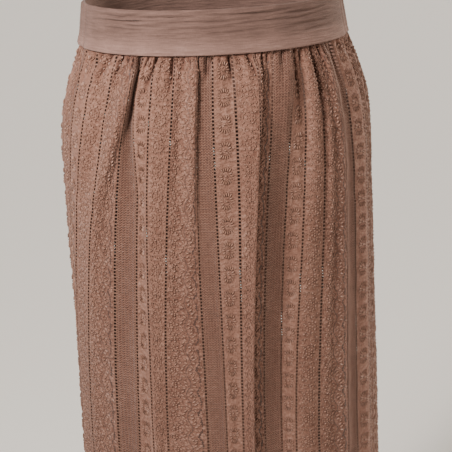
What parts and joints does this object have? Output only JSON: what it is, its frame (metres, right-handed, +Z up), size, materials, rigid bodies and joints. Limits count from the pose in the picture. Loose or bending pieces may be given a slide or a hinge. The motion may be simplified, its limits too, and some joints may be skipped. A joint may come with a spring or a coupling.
{
  "type": "midi skirt",
  "caption": "Worn midi skirt in gathered eyelet-stripe embroidered cotton with a plain flat front waistband and an elasticated back, open at waist and hem.",
  "frame": {"origin": "middle of the waist, half way up the waistband", "axes": "+Z up along the wearer, -Y towards the front of the skirt, +X towards the wearer's left"},
  "size_m": [0.3754, 0.2974, 0.7653],
  "materials": {
    "embroidered_cotton": "matte woven cotton with tone-on-tone embroidery",
    "plain_cotton": "matte plain-weave cotton"
  },
  "bodies": {
    "root": {"waistband_front": "plain_cotton", "waistband_back": "plain_cotton", "skirt_front": "embroidered_cotton", "skirt_back": "embroidered_cotton"}
  },
  "joints": []
}
